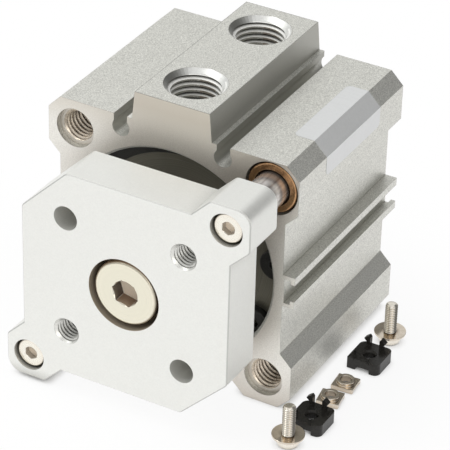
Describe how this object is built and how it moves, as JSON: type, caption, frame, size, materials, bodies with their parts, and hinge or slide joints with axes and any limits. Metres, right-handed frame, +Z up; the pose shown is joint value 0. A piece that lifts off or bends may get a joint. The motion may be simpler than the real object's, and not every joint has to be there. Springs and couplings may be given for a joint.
{
  "type": "compact guide rod air cylinder with loose switch mounting kit",
  "caption": "Double-acting compact air cylinder, 50 mm bore and 10 mm stroke, with twin guide rods, square end plate and a loose switch-mounting kit beside it",
  "frame": {"origin": "bore axis at the rear (head end) mounting face of the body", "axes": "+Y along the bore towards the rear face, -Y is the way the plate moves out, +Z up through the port block, +X to the right as seen from the front"},
  "size_m": [0.0752, 0.0705, 0.071],
  "materials": {
    "body_aluminium": "clear hard-anodised extrusion, fine matt grain",
    "plate_aluminium": "pale satin coated plate, bright edges",
    "cover_aluminium": "dark olive-grey anodised",
    "piston_alloy": "chromated",
    "rod_chrome": "hard chrome plated, ground",
    "bush_bronze": "sintered oil-filled bronze",
    "ring_spring_steel": "black phosphated spring steel",
    "screw_nickel": "nickel plated",
    "kit_steel": "bright zinc plated",
    "kit_plastic": "black moulded resin",
    "seal_rubber": "black nitrile rubber",
    "bumper_urethane": "amber urethane",
    "magnet_compound": "dark bonded magnet"
  },
  "bodies": {
    "cylinder": {"tube_body": "body_aluminium", "rod_cover": "cover_aluminium", "retaining_ring": "ring_spring_steel", "rod_seal": "seal_rubber", "rod_bush": "bush_bronze", "cover_gasket": "seal_rubber", "bumper_front": "bumper_urethane", "bumper_rear": "bumper_urethane", "guide_bush_upper_front": "bush_bronze", "guide_bush_upper_rear": "bush_bronze", "guide_bush_lower_front": "bush_bronze", "guide_bush_lower_rear": "bush_bronze"},
    "end_plate_and_rods": {"piston": "piston_alloy", "piston_seal": "seal_rubber", "piston_magnet": "magnet_compound", "piston_rod": "rod_chrome", "end_plate": "plate_aluminium", "guide_rod_upper": "rod_chrome", "guide_rod_lower": "rod_chrome", "centre_screw": "screw_nickel", "ear_screw_upper": "screw_nickel", "ear_screw_lower": "screw_nickel"},
    "bracket_front": {"switch_bracket_front": "kit_plastic"},
    "nut_front": {"switch_nut_front": "kit_steel"},
    "screw_front": {"switch_screw_front": "kit_steel", "spring_washer_front": "kit_steel", "flat_washer_front": "kit_steel"},
    "bracket_rear": {"switch_bracket_rear": "kit_plastic"},
    "nut_rear": {"switch_nut_rear": "kit_steel"},
    "screw_rear": {"switch_screw_rear": "kit_steel", "spring_washer_rear": "kit_steel", "flat_washer_rear": "kit_steel"}
  },
  "joints": [
    {"name": "rod_slide", "type": "slide", "parent": "cylinder", "child": "end_plate_and_rods", "axis": [0, -1, 0], "range_m": [0, 0.01]},
    {"name": "bracket_front_lift", "type": "slide", "parent": "cylinder", "child": "bracket_front", "axis": [0, 0, 1], "range_m": [0, 0.08]},
    {"name": "nut_front_lift", "type": "slide", "parent": "cylinder", "child": "nut_front", "axis": [0, 0, 1], "range_m": [0, 0.08]},
    {"name": "screw_front_lift", "type": "slide", "parent": "cylinder", "child": "screw_front", "axis": [0, 0, 1], "range_m": [0, 0.08]},
    {"name": "bracket_rear_lift", "type": "slide", "parent": "cylinder", "child": "bracket_rear", "axis": [0, 0, 1], "range_m": [0, 0.08]},
    {"name": "nut_rear_lift", "type": "slide", "parent": "cylinder", "child": "nut_rear", "axis": [0, 0, 1], "range_m": [0, 0.08]},
    {"name": "screw_rear_lift", "type": "slide", "parent": "cylinder", "child": "screw_rear", "axis": [0, 0, 1], "range_m": [0, 0.08]}
  ]
}
